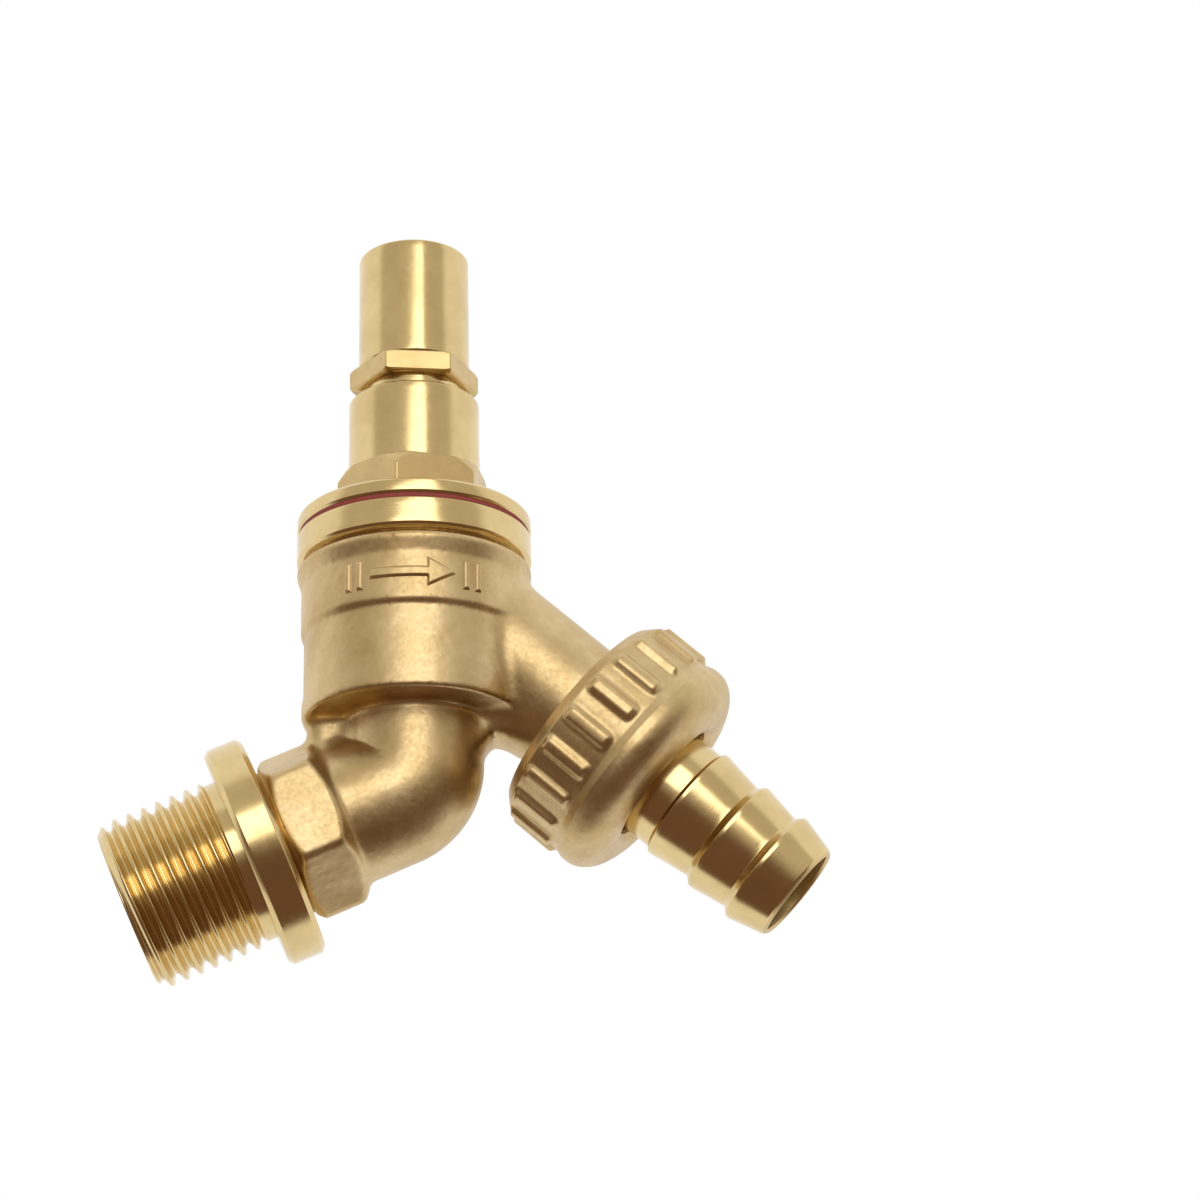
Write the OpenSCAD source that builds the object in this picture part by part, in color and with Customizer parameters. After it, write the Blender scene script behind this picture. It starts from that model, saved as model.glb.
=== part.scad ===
// Lockshield bibcock: a wall tap whose square spindle stands inside a tube shield,
// with a screwed union and a barbed hose tail on its spout.
// Frame: the inlet axis is X and the wall is on the -X side. The valve axis leans forward
// from Z in the XZ plane, and the spout axis leaves it downwards and forwards.

/* [Inlet] */
// Outside diameter of the inlet thread
inlet_thread_d = 20.955; // [19:0.005:22.5]
// Length of the inlet spigot, from its free end to the wall flange
inlet_len = 15.1; // [12:0.1:20]
// Chamfer on the free end of the inlet spigot
inlet_chamfer = 1.1; // [0.4:0.1:1.6]
// Bore of the inlet and of the elbow
waterway_d = 12.2; // [10:0.1:13]
// Diameter of the wall flange
wall_flange_d = 27.5; // [25:0.1:34]
// Thickness of the wall flange at its rim
wall_flange_t = 4.7; // [3:0.1:6]
// Chamfer on both edges of the wall flange
wall_flange_chamfer = 0.6; // [0.2:0.1:1.2]
// Spanner size of the inlet hexagon
inlet_hex_af = 18.7; // [18.2:0.1:21]
// Length of the inlet hexagon, from the wall flange to the foot of its chamfer
inlet_hex_len = 7.9; // [6:0.1:9]
// Length of the chamfer that ends the inlet hexagon
inlet_hex_chamfer = 1.8; // [0.8:0.1:2.4]

/* [Elbow] */
// Outside diameter of the elbow
elbow_d = 16.8; // [16:0.1:18]
// Radius of the elbow's centre line
elbow_r = 4.4; // [2:0.1:6]
// Distance from the wall flange to the valve axis, along the inlet axis
valve_x = 21.8; // [20:0.1:28]
// Lean of the valve axis, in degrees forward of upright
valve_lean = 22.8; // [16:0.1:28]

/* [Valve chamber] */
// Height of the chamber's underside, along the valve axis from the inlet axis
chamber_foot = 8.4; // [7.5:0.1:11]
// Step in from the cast band to the chamber's lower part
chamber_step = 0.4; // [0.1:0.05:0.8]
// Height of the chamber's lower part
chamber_h = 10.6; // [8:0.1:13]
// Step in from the machined rim to the cast band
band_step = 0.6; // [0.2:0.05:1]
// Height of the cast band, its bead included
band_h = 9.6; // [8:0.1:12]
// Height of the bead at the top of the cast band
bead_h = 2.3; // [1.5:0.1:3]
// Depth of the groove between the bead and the machined rim
bead_groove = 0.3; // [0.1:0.05:0.6]
// Diameter of the machined rim, the bead and the bonnet's flange
rim_d = 29; // [28:0.1:34]
// Height of the machined rim
rim_h = 3.6; // [2.5:0.1:5]
// Wall of the machined rim round the bonnet's thread
rim_wall = 2.5; // [2:0.1:3]
// Depth of the bonnet's thread in the chamber's bore
bonnet_thread_depth = 0.8; // [0.5:0.05:1.2]
// Thickness of the chamber's floor
floor_t = 3.1; // [2.2:0.1:4]
// Bore of the valve seat
seat_bore = 12.4; // [10.2:0.1:13]
// Height of the valve seat above the chamber's floor
seat_h = 2; // [1:0.1:3]
// Wall of the valve seat ring
seat_wall = 1.3; // [0.8:0.1:1.6]

/* [Spout] */
// Where the spout axis leaves the valve axis, measured along the valve axis
spout_rise = 27; // [25:0.1:29]
// Fall of the spout axis, in degrees below level
spout_fall = 64.9; // [60:0.1:68]
// Outside diameter of the spout
spout_d = 16.9; // [16:0.1:19]
// Bore of the spout
spout_bore = 10; // [8:0.1:10.4]
// Distance from the valve axis to the end face of the spout, along the spout axis
spout_len = 34.4; // [33.5:0.1:38]
// Length of the screwed end of the spout
spout_thread_len = 5.9; // [4.5:0.1:7]
// Effective diameter of the union thread
union_thread_d = 25.3; // [24:0.05:26]
// Thickness of the web between the elbow, the chamber and the spout
web_t = 8; // [4:0.1:11]
// Depth of that web below the chamber
web_h = 3; // [1:0.1:4]

/* [Cast mark] */
// Relief of the flow arrow cast on the band
mark_relief = 0.4; // [0.2:0.05:0.6]
// Height of the arrow head
mark_h = 3.6; // [2:0.1:5]
// Angle round the band that the arrow covers, in degrees
mark_span = 46; // [24:1:60]
// Direction of the mark's middle round the valve axis, in degrees from the front
mark_turn = -88; // [-110:1:-70]

/* [Bonnet] */
// Thickness of the fibre washer under the bonnet's flange
body_washer_t = 0.5; // [0.3:0.05:1.5]
// Thickness of the bonnet's flange
bonnet_flange_t = 2; // [1.5:0.1:4]
// Spanner size of the bonnet's hexagon
bonnet_hex_af = 17.2; // [16.6:0.1:24]
// Height of the bonnet's hexagon
bonnet_hex_h = 5.8; // [4:0.1:8]
// Turn of the bonnet's hexagon round the valve axis, in degrees
bonnet_hex_turn = 20; // [0:1:59]
// Diameter of the bonnet's barrel
barrel_d = 16.4; // [15.4:0.1:18]
// Height of the barrel above the hexagon
barrel_h = 10.2; // [9:0.1:14]
// Length of the bonnet's screwed shank, below its flange
shank_len = 7.7; // [6:0.1:8.2]

/* [Lockshield] */
// Outside diameter of the shield tube
shield_d = 14; // [13.2:0.1:15]
// Inside diameter of the shield tube, for the key's socket
shield_bore = 11.4; // [11:0.1:12]
// Height of the shield tube above its collar
shield_h = 15.8; // [15.2:0.1:22]
// Spanner size of the shield's collar
collar_af = 14.1; // [14:0.1:16]
// Height of the shield's collar
collar_h = 2.5; // [2:0.1:4]
// Height of the gap between the bonnet and the collar
collar_gap = 2; // [1:0.1:2.5]
// Turn of the collar's hexagon round the valve axis, in degrees
collar_turn = 7; // [-29:1:30]
// Thickness of the shield's floor above the top of the bonnet
shield_floor = 3; // [2.2:0.1:4]

/* [Spindle and gland] */
// Diameter of the spindle's stem
stem_d = 8.8; // [8.6:0.1:9]
// Spanner size of the spindle's square
square_af = 6; // [5:0.1:6.1]
// Length of the spindle's square
square_len = 10; // [7:0.1:10.2]
// Diameter of the spindle's screw
screw_d = 11.6; // [10.6:0.1:12]
// Length of the spindle's screw
screw_len = 13; // [11:0.1:14]
// Lift of the jumper from closed to fully open
lift = 5; // [3:0.1:5]
// Diameter of the stuffing box
gland_bore = 12.8; // [12:0.1:13]
// Height of the gland packing
packing_h = 3.6; // [2:0.1:3.8]
// Thickness of the gland washer
gland_washer_t = 0.8; // [0.5:0.1:1.2]

/* [Jumper and washer] */
// Diameter of the tap washer
tap_washer_d = 18.7; // [17.5:0.1:19]
// Thickness of the tap washer
tap_washer_t = 3.5; // [2.5:0.1:4]
// Diameter of the jumper's plate
plate_d = 18.4; // [17:0.1:18.8]
// Thickness of the jumper's plate
plate_t = 2.2; // [1.5:0.1:2.6]
// Diameter of the jumper's stem
jumper_stem_d = 5.8; // [4.5:0.1:6.4]
// Length of the jumper's stem
jumper_stem_len = 12; // [8:0.1:13]
// Diameter of the stud that carries the tap washer
stud_d = 4; // [3:0.1:4.4]
// Spanner size of the nut under the tap washer
washer_nut_af = 7; // [6:0.1:8]
// Height of the nut under the tap washer
washer_nut_h = 2.4; // [1.6:0.1:2.6]

/* [Union nut] */
// Diameter of the nut between its ribs
nut_d = 28.7; // [28:0.1:30]
// Diameter over the nut's ribs
rib_tip_d = 30.1; // [29.5:0.1:31.5]
// Number of ribs round the nut
rib_count = 20; // [12:1:24]
// Turn of the ribs round the spout axis, in degrees
rib_turn = 16.7; // [0:0.1:18]
// Width of a rib
rib_w = 2.3; // [1.6:0.1:2.6]
// Length of a rib
rib_len = 6.6; // [5:0.1:7]
// Length of the nut
nut_len = 13.8; // [13.2:0.1:16]
// Overlap of the nut behind the screwed end of the spout
nut_overlap = 1.3; // [0.6:0.1:1.5]
// Depth that the nut's mouth is dished
nut_dish = 1.2; // [0.5:0.1:1.4]
// Diameter of the hole in the nut's front
nut_hole_d = 16.6; // [16.3:0.1:18]

/* [Hose tail] */
// Thickness of the union washer
union_washer_t = 2; // [1:0.1:2.5]
// Diameter of the hose tail's flange
tail_flange_d = 24; // [22:0.1:24.2]
// Thickness of the hose tail's flange
tail_flange_t = 1.9; // [1.5:0.1:2.2]
// Diameter of the shoulder inside the nut's hole
tail_boss_d = 16; // [15:0.1:16.1]
// Length of that shoulder
tail_boss_len = 1.6; // [1:0.1:2.2]
// Diameter of the hose tail's neck
neck_d = 14; // [13:0.1:14.4]
// Length of the neck, its tapered root included
neck_len = 4.1; // [3:0.1:6]
// Diameter over the barbs
barb_d = 15; // [14.6:0.1:16]
// Diameter at the foot of a barb's slope
barb_root_d = 13.4; // [12.9:0.1:13.8]
// Distance from one barb to the next
barb_pitch = 5.8; // [4:0.1:7]
// Number of barbs
barb_count = 3; // [2:1:5]
// Diameter of the hose tail's free end
tail_end_d = 12.8; // [12.6:0.1:13.2]
// Bore of the hose tail
tail_bore = 11.2; // [9:0.1:11.6]

/* [Clearances] */
// Radial clearance of a screwed or running fit
fit_gap = 0.05; // [0.02:0.01:0.08]
// Radial clearance of a loose washer
washer_gap = 0.1; // [0.05:0.01:0.2]

/* [Hidden] */
$fn = 96;

// Diameters that follow the machined rim
band_d = rim_d - 2 * band_step;
chamber_d = band_d - 2 * chamber_step;
bonnet_thread_d = rim_d - 2 * rim_wall;
chamber_bore = bonnet_thread_d - 2 * bonnet_thread_depth;

// Travel left over at the top of the spindle's lift
lift_spare = 0.5;
// Unscrewed tip below the spindle's screw
spindle_tip = 1.3;
// Height of the bonnet's narrow throat between its thread and the stuffing box
bonnet_neck_h = 3.2;
// Overlap of two solids that are joined in one piece
overlap = 0.5;
// Reach of the straight tubes over the elbow's bend, and the bend's thinner radius there
tube_reach = 0.12;
bend_step = 0.06;
// Heights of the bead's slope and of the groove above the bead
bead_slope = 1.2;
groove_h = 0.8;
// Turned corners of the bonnet's hexagon: height, and inset at the top
hex_turned_h = 3.6;
hex_turned_in = 0.3;
// Fillet under the chamber where the web meets it
web_fillet = 0.8;
// Length of the stud below the nut under the tap washer
stud_end = 0.6;
// Barb's short rise, its crest, and the rise of the first one from the neck
barb_rise = 0.8;
barb_crest = 0.3;
neck_rise = 0.3;
// Length of the taper from the shoulder to the neck, and the lip at the free end
neck_taper = 1.3;
tail_lip = 0.4;
// Front bead of the nut: its height, and its distance from the nut's front
nut_bead = 0.3;
nut_bead_foot = 5.4;
// Chamfer on the back of the nut
nut_chamfer = 1.2;

// Heights along the valve axis, from the inlet axis
band_foot = chamber_foot + chamber_h;
rim_foot = band_foot + band_h;
rim_top = rim_foot + rim_h;
floor_top = chamber_foot + floor_t;
seat_top = floor_top + seat_h;
flange_foot = rim_top + body_washer_t;
hex_foot = flange_foot + bonnet_flange_t;
hex_top = hex_foot + bonnet_hex_h;
barrel_top = hex_top + barrel_h;
collar_foot = barrel_top + collar_gap;
collar_top = collar_foot + collar_h;
shield_top = collar_top + shield_h;
plate_foot = seat_top + tap_washer_t;
plate_top = plate_foot + plate_t;
screw_foot = plate_top + spindle_tip;
screw_top = screw_foot + screw_len;
screw_bore_top = screw_top + lift + lift_spare;
box_floor = screw_bore_top + bonnet_neck_h;
packing_top = box_floor + packing_h;
gland_top = packing_top + gland_washer_t;
square_top = shield_top - lift - lift_spare;
square_foot = square_top - square_len;

// Places along the spout axis, from the valve axis
thread_foot = spout_len - spout_thread_len;
nut_back = thread_foot - nut_overlap;
nut_front = nut_back + nut_len;
tail_seat = spout_len + union_washer_t;
tail_shoulder = tail_seat + tail_flange_t;
boss_end = tail_shoulder + tail_boss_len;
first_barb = boss_end + neck_len;
tail_len = first_barb + barb_count * barb_pitch;

// Where the spout starts, inside the chamber's wall, and where its bore starts
spout_outer = chamber_d / 2 - 1.1;
spout_inner = spout_outer + 0.1;

module on_valve(height = 0)
    translate([valve_x, 0, 0]) rotate([0, valve_lean, 0]) translate([0, 0, height]) children();

module on_spout(along = 0)
    on_valve(spout_rise) rotate([0, 90 + spout_fall - valve_lean, 0])
        translate([0, 0, along]) children();

module on_inlet(along = 0)
    translate([along, 0, 0]) rotate([0, 90, 0]) children();

module hexagon(across_flats, height)
    linear_extrude(height) circle(d = across_flats / cos(30), $fn = 6);

// A ring or tube from its outside, inside and height
module ring(outside_d, inside_d, height)
    difference() {
        cylinder(d = outside_d, h = height);
        translate([0, 0, -1]) cylinder(d = inside_d, h = height + 2);
    }

// Outside of the inlet: the screwed spigot, the wall flange and the hexagon
module inlet_outside() {
    r = inlet_thread_d / 2;
    f = wall_flange_d / 2;
    c = wall_flange_chamfer;
    on_inlet() rotate_extrude() polygon([
        [0, -inlet_len], [r - inlet_chamfer, -inlet_len], [r, inlet_chamfer - inlet_len], [r, 0],
        [f - c, 0], [f, c], [f, wall_flange_t - c], [f - c, wall_flange_t], [0, wall_flange_t]]);
    corner = inlet_hex_af / 2 / cos(30);
    hex_end = wall_flange_t + inlet_hex_len;
    on_inlet() intersection() {
        translate([0, 0, wall_flange_t - 1]) hexagon(inlet_hex_af, inlet_hex_len + 1);
        rotate_extrude() polygon([
            [0, 0], [corner + 1, 0], [corner + 1, hex_end - inlet_hex_chamfer - 0.1],
            [corner, hex_end - inlet_hex_chamfer], [elbow_d / 2 - 0.3, hex_end], [0, hex_end]]);
    }
}

// Straight tube from a place on the inlet axis, tight bend, and riser up to a height. The bend
// is a hair thinner than the tubes, which reach over its ends.
module elbow_run(r, from, up_to) {
    bend = 90 - valve_lean;
    tangent = elbow_r * tan(bend / 2);
    bend_start = valve_x - tangent;
    on_inlet(from) cylinder(r = r, h = bend_start + tube_reach - from);
    translate([bend_start, 0, elbow_r]) rotate([90, 0, 0]) rotate([0, 0, -90])
        rotate_extrude(angle = bend) intersection() {
            translate([elbow_r, 0]) circle(r = r - bend_step);
            translate([0, -r]) square([elbow_r + r, 2 * r]);
        }
    on_valve(tangent - tube_reach) cylinder(r = r, h = up_to - tangent + tube_reach);
}

// Outside of the chamber: cast barrel, cast band, bead, groove and machined rim
module chamber_outside() {
    rim_r = rim_d / 2;
    band_r = band_d / 2;
    bead_foot = rim_foot - bead_h;
    on_valve() rotate_extrude() polygon([
        [0, chamber_foot], [chamber_d / 2, chamber_foot], [chamber_d / 2, band_foot],
        [band_r, band_foot], [band_r, bead_foot], [rim_r, bead_foot + bead_slope],
        [rim_r, rim_foot - groove_h], [rim_r - bead_groove, rim_foot - groove_h / 2],
        [rim_r, rim_foot], [rim_r, rim_top], [0, rim_top]]);
}

// Web that fills the corner under the chamber, between the riser and the spout
module web() {
    foot = chamber_foot - web_h;
    riser = elbow_d / 2;
    outer = chamber_d / 2 + 1;
    inside = waterway_d / 2 + overlap;
    translate([0, web_t / 2, 0]) rotate([90, 0, 0]) linear_extrude(web_t) polygon([
        at_valve(inside, foot - 2 * web_fillet), at_valve(riser, foot - web_fillet),
        at_valve(riser + web_fillet, foot), at_valve(riser + 3 * web_fillet, foot),
        at_valve(outer, foot - 2 * web_fillet), at_valve(outer, chamber_foot + floor_t),
        at_valve(inside, chamber_foot + floor_t)]);
}

// Point of the XZ plane at a distance in front of the valve axis and a height along it
function at_valve(out, up) =
    [valve_x + out * cos(valve_lean) + up * sin(valve_lean),
     up * cos(valve_lean) - out * sin(valve_lean)];

// Raised flow arrow on the cast band: a bar and a head, each a sector of the band
module flow_arrow() {
    middle = band_foot + (band_h - bead_h) / 2;
    r = band_d / 2 + mark_relief;
    head = mark_span / 4;
    on_valve(middle) rotate([0, 0, mark_turn]) intersection() {
        cylinder(r = r, h = mark_h + 2, center = true);
        rotate([90, 0, 90]) linear_extrude(r) arrow_outline(r * sin(mark_span / 2), r * sin(head));
    }
}

// Flat outline of the arrow, pointing along +X, with its middle at the origin
module arrow_outline(half, head)
    polygon([
        [-half, -mark_h / 6], [half - head, -mark_h / 6], [half - head, -mark_h / 2], [half, 0],
        [half - head, mark_h / 2], [half - head, mark_h / 6], [-half, mark_h / 6]]);

// Half section of the riser, the valve seat, the chamber and the bonnet's thread
module valve_cavity() {
    seat_r = seat_bore / 2;
    thread_low = flange_foot - shank_len - 1;
    polygon([
        [0, chamber_foot - 2], [seat_r, chamber_foot - 2], [seat_r, seat_top], [seat_r + seat_wall, seat_top],
        [seat_r + seat_wall, floor_top], [chamber_bore / 2, floor_top], [chamber_bore / 2, thread_low],
        [bonnet_thread_d / 2, thread_low + bonnet_thread_depth], [bonnet_thread_d / 2, rim_top + 1], [0, rim_top + 1]]);
}

// Half section of the spout's bore, which widens at its screwed end
module spout_cavity() {
    mouth_r = waterway_d / 2 + 0.1;
    polygon([
        [0, spout_inner], [spout_bore / 2, spout_inner], [spout_bore / 2, thread_foot - 4],
        [mouth_r, thread_foot - 3], [mouth_r, spout_len + 1], [0, spout_len + 1]]);
}

module body()
    color("#c2a468") difference() {
        union() {
            inlet_outside();
            elbow_run(elbow_d / 2, wall_flange_t, floor_top);
            chamber_outside();
            web();
            flow_arrow();
            on_spout(spout_outer) cylinder(d = spout_d, h = thread_foot - spout_outer);
            on_spout(thread_foot) cylinder(d = union_thread_d, h = spout_thread_len);
        }
        elbow_run(waterway_d / 2, -inlet_len - 1, chamber_foot);
        on_valve() rotate_extrude() valve_cavity();
        on_spout() rotate_extrude() spout_cavity();
    }

module body_washer()
    color("#8c2f22") on_valve(rim_top)
        ring(rim_d - 0.4, bonnet_thread_d + 2 * washer_gap, body_washer_t);

module bonnet()
    color("#d9bd80") on_valve() difference() {
        union() {
            translate([0, 0, flange_foot - shank_len])
                cylinder(d = bonnet_thread_d - 2 * fit_gap, h = shank_len);
            translate([0, 0, flange_foot]) cylinder(d = rim_d, h = bonnet_flange_t);
            rotate([0, 0, bonnet_hex_turn]) bonnet_hexagon();
            translate([0, 0, hex_foot]) cylinder(d = barrel_d, h = barrel_top - hex_foot);
        }
        cylinder(d = screw_d + 2 * fit_gap, h = screw_bore_top);
        cylinder(d = stem_d + 2 * fit_gap, h = barrel_top + 1);
        translate([0, 0, box_floor]) cylinder(d = gland_bore, h = barrel_top);
    }

// Hexagon with its upper corners turned off to a cone
module bonnet_hexagon()
    intersection() {
        translate([0, 0, hex_foot]) hexagon(bonnet_hex_af, bonnet_hex_h);
        rotate_extrude() polygon([
            [0, hex_foot - 1], [bonnet_hex_af, hex_foot - 1], [bonnet_hex_af, hex_top - hex_turned_h],
            [bonnet_hex_af / 2 - hex_turned_in, hex_top], [0, hex_top]]);
    }

module gland_packing()
    color("#e8e4d8") on_valve(box_floor)
        ring(gland_bore - 2 * fit_gap, stem_d + 2 * fit_gap, packing_h);

module gland_washer()
    color("#cdb27a") on_valve(packing_top)
        ring(gland_bore - 2 * fit_gap, stem_d + 2 * washer_gap, gland_washer_t);

module lockshield() {
    neck_r = gland_bore / 2 - fit_gap;
    color("#dfc488") on_valve() difference() {
        union() {
            translate([0, 0, gland_top]) cylinder(r = neck_r, h = collar_foot - gland_top + overlap);
            translate([0, 0, collar_foot]) rotate([0, 0, collar_turn]) hexagon(collar_af, collar_h);
            translate([0, 0, collar_top - overlap]) cylinder(d = shield_d, h = shield_h + overlap);
        }
        cylinder(d = stem_d + 2 * washer_gap, h = shield_top);
        translate([0, 0, barrel_top + shield_floor]) cylinder(d = shield_bore, h = shield_top);
    }
}

module spindle()
    color("#c9ad72") on_valve() difference() {
        union() {
            translate([0, 0, plate_top]) cylinder(d = screw_d - 1.6, h = screw_foot - plate_top);
            translate([0, 0, screw_foot]) cylinder(d = screw_d, h = screw_len);
            translate([0, 0, screw_top]) cylinder(d = stem_d, h = square_foot - screw_top);
            translate([0, 0, square_foot]) spindle_square();
        }
        cylinder(d = jumper_stem_d + 2 * fit_gap, h = plate_top + jumper_stem_len + lift_spare);
    }

// Square head with its corners turned to the stem's diameter
module spindle_square()
    intersection() {
        translate([-square_af / 2, -square_af / 2, 0]) cube([square_af, square_af, square_len]);
        cylinder(d = stem_d - 0.4, h = square_len);
    }

module jumper()
    color("#c9ad72") on_valve() union() {
        translate([0, 0, plate_foot]) cylinder(d = plate_d, h = plate_t);
        translate([0, 0, plate_top]) cylinder(d = jumper_stem_d, h = jumper_stem_len);
        translate([0, 0, seat_top - washer_nut_h - stud_end])
            cylinder(d = stud_d, h = tap_washer_t + washer_nut_h + stud_end);
    }

module tap_washer()
    color("#2b2b2b") on_valve(seat_top)
        ring(tap_washer_d, stud_d + 2 * washer_gap, tap_washer_t);

module washer_nut()
    color("#c9ad72") on_valve(seat_top - washer_nut_h) difference() {
        hexagon(washer_nut_af, washer_nut_h);
        translate([0, 0, -1]) cylinder(d = stud_d + 2 * fit_gap, h = washer_nut_h + 2);
    }

module union_washer()
    color("#303030") on_spout(spout_len)
        ring(tail_flange_d, waterway_d + 0.4, union_washer_t);

// One barb: a short rise to the full diameter, then a slope towards the free end
function barb_points(index) = let(foot = first_barb + index * barb_pitch) [
    [index == 0 ? neck_d / 2 : barb_root_d / 2, foot],
    [barb_d / 2, foot + (index == 0 ? neck_rise : barb_rise)],
    [barb_d / 2, foot + (index == 0 ? neck_rise : barb_rise) + barb_crest]];

module hose_tail()
    color("#e0c68c") on_spout() difference() {
        rotate_extrude() polygon([
            [0, tail_seat], [tail_flange_d / 2, tail_seat], [tail_flange_d / 2, tail_shoulder],
            [tail_boss_d / 2, tail_shoulder], [tail_boss_d / 2, boss_end],
            [neck_d / 2, boss_end + neck_taper],
            for (i = [0 : barb_count - 1], p = barb_points(i)) p,
            [tail_end_d / 2, tail_len - tail_lip], [tail_end_d / 2 - tail_lip, tail_len],
            [0, tail_len]]);
        cylinder(d = tail_bore, h = tail_len + 1);
    }

// Outside of the nut: chamfered back, plain barrel, front bead and domed, dished front
module nut_outside() {
    r = nut_d / 2;
    bead_low = nut_front - nut_bead_foot;
    bead_high = bead_low + 5 * nut_bead;
    dome_h = nut_front - bead_high;
    dome_w = (r - nut_hole_d / 2) * 0.85;
    function dome(turn) = [r + nut_bead - dome_w * (1 - cos(turn)), bead_high + dome_h * sin(turn)];
    rotate_extrude() polygon([
        [0, nut_back], [r - nut_chamfer, nut_back], [r, nut_back + nut_chamfer], [r, bead_low],
        [r + nut_bead, bead_low + 3 * nut_bead],
        for (turn = [0 : 15 : 90]) dome(turn),
        [nut_hole_d / 2 + nut_bead, nut_front - nut_dish / 3],
        [nut_hole_d / 2, nut_front - nut_dish], [0, nut_front - nut_dish]]);
}

// One rib: a rounded bar with a ball end, on a flat that reaches in through the barrel's wall
module nut_rib(straight) {
    rib_r = rib_w / 2;
    crest = rib_tip_d / 2 - rib_r;
    translate([crest, 0, 0]) cylinder(r = rib_r, h = straight);
    translate([crest, 0, straight]) sphere(r = rib_r);
    translate([crest / 2, -0.4 * rib_w, overlap / 2]) cube([crest / 2, 0.8 * rib_w, straight]);
}

module union_nut() {
    rib_r = rib_w / 2;
    color("#c2a468") on_spout() difference() {
        union() {
            nut_outside();
            for (i = [0 : rib_count - 1])
                rotate([0, 0, 90 + rib_turn + i * 360 / rib_count])
                    translate([0, 0, nut_back + nut_chamfer + 0.1]) nut_rib(rib_len - rib_r);
        }
        cylinder(d = union_thread_d + 2 * fit_gap, h = tail_shoulder);
        cylinder(d = nut_hole_d, h = nut_front + 1);
    }
}

body();
body_washer();
bonnet();
gland_packing();
gland_washer();
lockshield();
spindle();
jumper();
tap_washer();
washer_nut();
union_washer();
hose_tail();
union_nut();
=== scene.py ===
import math

import bpy
import numpy as np
from mathutils import Matrix, Vector


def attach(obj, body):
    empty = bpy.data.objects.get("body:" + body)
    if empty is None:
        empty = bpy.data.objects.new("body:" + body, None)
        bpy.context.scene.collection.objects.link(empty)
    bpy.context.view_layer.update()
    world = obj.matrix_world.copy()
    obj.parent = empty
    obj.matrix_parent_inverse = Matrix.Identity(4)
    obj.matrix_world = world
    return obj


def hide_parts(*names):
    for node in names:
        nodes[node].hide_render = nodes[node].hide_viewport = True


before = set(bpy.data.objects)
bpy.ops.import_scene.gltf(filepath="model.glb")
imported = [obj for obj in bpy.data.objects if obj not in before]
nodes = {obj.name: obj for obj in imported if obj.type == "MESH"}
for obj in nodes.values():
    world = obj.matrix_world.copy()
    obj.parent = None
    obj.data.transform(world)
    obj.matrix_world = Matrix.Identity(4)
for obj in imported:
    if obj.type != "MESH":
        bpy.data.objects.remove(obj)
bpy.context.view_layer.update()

# All shapes below are worked out in millimetres in the part's own frame: inlet along X, wall at -X.
mm = 0.001
layout = {"valveX": 21.8, "valveLean": 22.8, "spoutRise": 27.0, "spoutFall": 64.9}
lean, fall = math.radians(layout["valveLean"]), math.radians(layout["spoutFall"])
valveUp = np.array([math.sin(lean), 0, math.cos(lean)])
valveOut = np.array([math.cos(lean), 0, -math.sin(lean)])
spoutAlong = np.array([math.cos(fall), 0, -math.sin(fall)])
spoutOut = np.array([math.sin(fall), 0, math.cos(fall)])
sideways = np.array([0.0, 1.0, 0.0])
valveFoot = np.array([layout["valveX"], 0, 0])
spoutFoot = valveFoot + layout["spoutRise"] * valveUp

# Each axis has its start, its direction, and the two directions that its angle turns through
inletAxis = (np.zeros(3), np.array([1.0, 0, 0]), np.array([0, 0, -1.0]), sideways)
valveAxis = (valveFoot, valveUp, valveOut, sideways)
spoutAxis = (spoutFoot, spoutAlong, np.cross(sideways, spoutAlong), sideways)


def onAxis(axis, radius, angle, height):
    # point = start + height along the axis + radius turned by the angle round it
    start, along, first, second = axis
    radius, angle, height = np.broadcast_arrays(radius, angle, height)
    turned = np.cos(angle)[..., None] * first + np.sin(angle)[..., None] * second
    return start + height[..., None] * along + radius[..., None] * turned


def meshFrom(name, vertices, faces):
    # vertices in millimetres; faces are turned over together if the volume they close is negative
    mesh = bpy.data.meshes.new(name)
    vertices = np.asarray(vertices, float) * mm
    faces = np.asarray(faces, np.int64)
    corner = vertices[faces]
    if np.einsum("ij,ij->", corner[:, 0], np.cross(corner[:, 1], corner[:, 2])) < 0:
        faces = faces[:, ::-1]
    mesh.vertices.add(len(vertices))
    mesh.vertices.foreach_set("co", vertices.ravel())
    mesh.loops.add(faces.size)
    mesh.loops.foreach_set("vertex_index", faces.ravel())
    mesh.polygons.add(len(faces))
    mesh.polygons.foreach_set("loop_start", np.arange(0, faces.size, faces.shape[1]))
    mesh.polygons.foreach_set("use_smooth", np.ones(len(faces), bool))
    mesh.update()
    mesh.validate()
    piece = bpy.data.objects.new(name, mesh)
    bpy.context.scene.collection.objects.link(piece)
    return piece


def gridFaces(rows, cols):
    # every cell of a grid that closes on itself both ways
    index = np.arange(rows * cols).reshape(rows, cols)
    right = np.roll(index, -1, 1)
    return np.stack([index, right, np.roll(right, -1, 0), np.roll(index, -1, 0)], -1).reshape(-1, 4)


def closedGrid(points):
    # a ring-shaped surface from a grid of points, as (vertices, faces)
    rows, cols = points.shape[:2]
    return points.reshape(-1, 3), gridFaces(rows, cols)


def joined(name, *shells):
    # several closed shells in one mesh
    vertices, faces, first = [], [], 0
    for shellVertices, shellFaces in shells:
        corner = shellVertices[shellFaces]
        if np.einsum("ij,ij->", corner[:, 0], np.cross(corner[:, 1], corner[:, 2])) < 0:
            shellFaces = shellFaces[:, ::-1]
        vertices.append(shellVertices)
        faces.append(shellFaces + first)
        first += len(shellVertices)
    return meshFrom(name, np.concatenate(vertices), np.concatenate(faces))


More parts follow.
